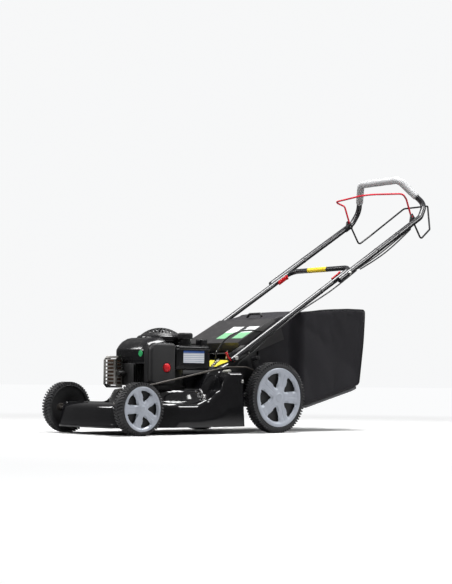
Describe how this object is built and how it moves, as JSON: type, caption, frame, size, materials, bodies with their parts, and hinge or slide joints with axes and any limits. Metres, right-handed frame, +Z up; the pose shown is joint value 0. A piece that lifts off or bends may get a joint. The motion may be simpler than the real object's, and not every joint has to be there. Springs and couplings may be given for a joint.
{
  "type": "push lawn mower",
  "caption": "Petrol walk-behind mower: pressed deck, vertical-shaft engine, small front and large rear wheels, rear grass bag, folding tube handle with two bails.",
  "frame": {"origin": "on the ground, at the middle of the overall box in X and Y", "axes": "+X to the operator's left, +Y to the rear, towards the handle, +Z up"},
  "size_m": [0.526, 1.9062, 1.1409],
  "materials": {
    "gloss_black_steel": "high-gloss black enamel on pressed steel",
    "black_powder_coat": "satin black powder coat",
    "black_wire_coat": "black dip coat on round wire",
    "red_wire_coat": "red dip coat on round wire",
    "zinc_steel": "bright zinc plate",
    "bare_steel": "machined steel",
    "cast_aluminium": "as-cast",
    "cast_iron": "machined cast iron",
    "pressed_pulley": "black zinc",
    "silencer_steel": "heat-tinted aluminised steel",
    "guard_steel": "bright plated pressing",
    "engine_plastic": "grained black nylon",
    "tank_plastic": "satin black polyethylene",
    "flap_plastic": "black polypropylene, satin gloss",
    "tray_plastic": "dark grey polypropylene",
    "red_plastic": "red acetal",
    "red_rubber": "soft red rubber",
    "tyre_rubber": "moulded black tyre",
    "rim_plastic": "black polypropylene",
    "cap_plastic": "silver-grey painted plastic",
    "lever_grip": "zinc strap with a grey grip",
    "grip_foam": "light grey closed-cell foam",
    "belt_rubber": "fabric-covered rubber",
    "plug_boot": "black rubber boot",
    "cable_sheath": "black PVC sheath",
    "starter_handle": "black moulded grip",
    "bag_cloth": "black woven polyester"
  },
  "bodies": {
    "root": {"deck": "gloss_black_steel", "side_plates": "black_powder_coat", "gearbox": "cast_aluminium", "drive_belt": "belt_rubber", "crankcase": "cast_aluminium", "cylinder": "cast_aluminium", "spark_plug": "plug_boot", "muffler": "silencer_steel", "muffler_guard": "guard_steel", "blower_housing": "engine_plastic", "starter_cover": "engine_plastic", "carburettor": "cast_aluminium", "filter_cover": "engine_plastic", "fuel_tank": "tank_plastic", "engine_cables": "cable_sheath", "flap_rod": "zinc_steel"},
    "rear_crank": {"rear_axle": "black_powder_coat", "height_lever": "lever_grip"},
    "front_crank": {"front_axle": "black_powder_coat"},
    "link_bar": {"link_bar": "black_powder_coat"},
    "front_wheel_left": {"front_tyre_left": "tyre_rubber", "front_rim_left": "rim_plastic", "front_cap_left": "cap_plastic"},
    "front_wheel_right": {"front_tyre_right": "tyre_rubber", "front_rim_right": "rim_plastic", "front_cap_right": "cap_plastic"},
    "rear_wheel_left": {"rear_tyre_left": "tyre_rubber", "rear_rim_left": "rim_plastic", "rear_cap_left": "cap_plastic"},
    "rear_wheel_right": {"rear_tyre_right": "tyre_rubber", "rear_rim_right": "rim_plastic", "rear_cap_right": "cap_plastic"},
    "pinion_left": {"pinion_left": "bare_steel"},
    "pinion_right": {"pinion_right": "bare_steel"},
    "drive_shaft": {"drive_shaft": "zinc_steel"},
    "gearbox_pulley": {"gearbox_pulley": "pressed_pulley"},
    "crank": {"crankshaft": "bare_steel", "flywheel": "cast_iron", "blade_adapter": "cast_iron", "blade": "bare_steel", "blade_bolt": "zinc_steel"},
    "starter_pulley": {"starter_pulley": "engine_plastic"},
    "starter_grip": {"starter_grip": "starter_handle"},
    "lower_handle": {"lower_handle": "black_powder_coat", "handle_bolts": "zinc_steel", "lower_cables": "cable_sheath"},
    "upper_handle": {"upper_handle": "black_powder_coat", "grip_foam": "grip_foam", "bail_brackets": "black_powder_coat", "upper_cables": "cable_sheath"},
    "clamp_lever_left": {"clamp_lever_left": "red_plastic"},
    "clamp_lever_right": {"clamp_lever_right": "red_plastic"},
    "brake_bail": {"brake_bail": "red_wire_coat"},
    "drive_bail": {"drive_bail": "black_wire_coat"},
    "rear_flap": {"rear_flap": "flap_plastic"},
    "bag": {"bag_fabric": "bag_cloth", "bag_frame": "black_powder_coat", "bag_tray": "tray_plastic"},
    "fuel_cap": {"fuel_cap": "engine_plastic"},
    "primer_bulb": {"primer_bulb": "red_rubber"}
  },
  "joints": [
    {"name": "height_adjust", "type": "hinge", "parent": "root", "child": "rear_crank", "pos_m": [0, -0.21271, 0.1636], "axis": [1, 0, 0], "range_deg": [-22, 22]},
    {"name": "front_height", "type": "hinge", "parent": "root", "child": "front_crank", "pos_m": [0, -0.90871, 0.1], "axis": [1, 0, 0], "range_deg": [-22, 22]},
    {"name": "link_swing", "type": "hinge", "parent": "rear_crank", "child": "link_bar", "pos_m": [0, -0.21771, 0.2336], "axis": [1, 0, 0], "range_deg": [-22, 22]},
    {"name": "front_wheel_left_spin", "type": "hinge", "parent": "front_crank", "child": "front_wheel_left", "pos_m": [0, -0.85371, 0.1], "axis": [1, 0, 0], "continuous": true},
    {"name": "front_wheel_right_spin", "type": "hinge", "parent": "front_crank", "child": "front_wheel_right", "pos_m": [0, -0.85371, 0.1], "axis": [1, 0, 0], "continuous": true},
    {"name": "rear_wheel_left_spin", "type": "hinge", "parent": "rear_crank", "child": "rear_wheel_left", "pos_m": [0, -0.16171, 0.143], "axis": [1, 0, 0], "continuous": true},
    {"name": "rear_wheel_right_spin", "type": "hinge", "parent": "rear_crank", "child": "rear_wheel_right", "pos_m": [0, -0.16171, 0.143], "axis": [1, 0, 0], "continuous": true},
    {"name": "pinion_left_spin", "type": "hinge", "parent": "rear_crank", "child": "pinion_left", "pos_m": [0, -0.21271, 0.1636], "axis": [1, 0, 0], "continuous": true},
    {"name": "pinion_right_spin", "type": "hinge", "parent": "rear_crank", "child": "pinion_right", "pos_m": [0, -0.21271, 0.1636], "axis": [1, 0, 0], "continuous": true},
    {"name": "drive_shaft_spin", "type": "hinge", "parent": "root", "child": "drive_shaft", "pos_m": [0, -0.21271, 0.1636], "axis": [1, 0, 0], "continuous": true},
    {"name": "crank_spin", "type": "hinge", "parent": "root", "child": "crank", "pos_m": [0, -0.56871, 0], "axis": [0, 0, 1], "continuous": true},
    {"name": "gearbox_pulley_spin", "type": "hinge", "parent": "root", "child": "gearbox_pulley", "pos_m": [0, -0.25571, 0], "axis": [0, 0, 1], "continuous": true},
    {"name": "starter_pull", "type": "slide", "parent": "root", "child": "starter_grip", "axis": [-0.1002, 0.8818, 0.4609], "range_m": [0, 0.6], "stiffness_N_per_m": 15, "springref_m": -0.1},
    {"name": "starter_reel", "type": "hinge", "parent": "root", "child": "starter_pulley", "pos_m": [0, -0.56871, 0], "axis": [0, 0, 1], "range_deg": [0, 860]},
    {"name": "lower_fold", "type": "hinge", "parent": "root", "child": "lower_handle", "pos_m": [0, -0.34171, 0.3], "axis": [1, 0, 0], "range_deg": [0, 60]},
    {"name": "upper_fold", "type": "hinge", "parent": "lower_handle", "child": "upper_handle", "pos_m": [0, 0.27716, 0.67186], "axis": [1, 0, 0], "range_deg": [0, 130]},
    {"name": "clamp_left", "type": "hinge", "parent": "lower_handle", "child": "clamp_lever_left", "pos_m": [0.167, 0.27716, 0.67186], "axis": [0, 0.515, -0.8572], "range_deg": [0, 110]},
    {"name": "clamp_right", "type": "hinge", "parent": "lower_handle", "child": "clamp_lever_right", "pos_m": [-0.167, 0.27716, 0.67186], "axis": [0, -0.515, 0.8572], "range_deg": [0, 110]},
    {"name": "brake_bail_swing", "type": "hinge", "parent": "upper_handle", "child": "brake_bail", "pos_m": [0, 0.70179, 0.9515], "axis": [1, 0, 0], "range_deg": [-38, 0], "stiffness_Nm_per_rad": 0.2, "springref_deg": 17.19},
    {"name": "drive_bail_swing", "type": "hinge", "parent": "upper_handle", "child": "drive_bail", "pos_m": [0, 0.7126, 0.9335], "axis": [1, 0, 0], "range_deg": [0, 72]},
    {"name": "rear_flap_lift", "type": "hinge", "parent": "root", "child": "rear_flap", "pos_m": [0, -0.25371, 0.322], "axis": [1, 0, 0], "range_deg": [0, 55]},
    {"name": "bag_pull_off", "type": "slide", "parent": "root", "child": "bag", "axis": [0, 1, 0], "range_m": [0, 0.5]},
    {"name": "fuel_cap_turn", "type": "hinge", "parent": "root", "child": "fuel_cap", "pos_m": [0.12075, -0.53971, 0.38], "axis": [0, 0, 1], "range_deg": [0, 270]},
    {"name": "primer_press", "type": "slide", "parent": "root", "child": "primer_bulb", "axis": [-1, 0, 0], "range_m": [0, 0.006], "stiffness_N_per_m": 800}
  ],
  "couplings": [
    {"joint": "front_height", "follows": "height_adjust", "ratio": 1},
    {"joint": "link_swing", "follows": "height_adjust", "ratio": -1},
    {"joint": "pinion_left_spin", "follows": "rear_wheel_left_spin", "ratio": 4.6667},
    {"joint": "pinion_right_spin", "follows": "rear_wheel_right_spin", "ratio": 4.6667},
    {"joint": "gearbox_pulley_spin", "follows": "crank_spin", "ratio": 0.4717},
    {"joint": "starter_reel", "follows": "starter_pull", "rad_per_m": 25}
  ]
}
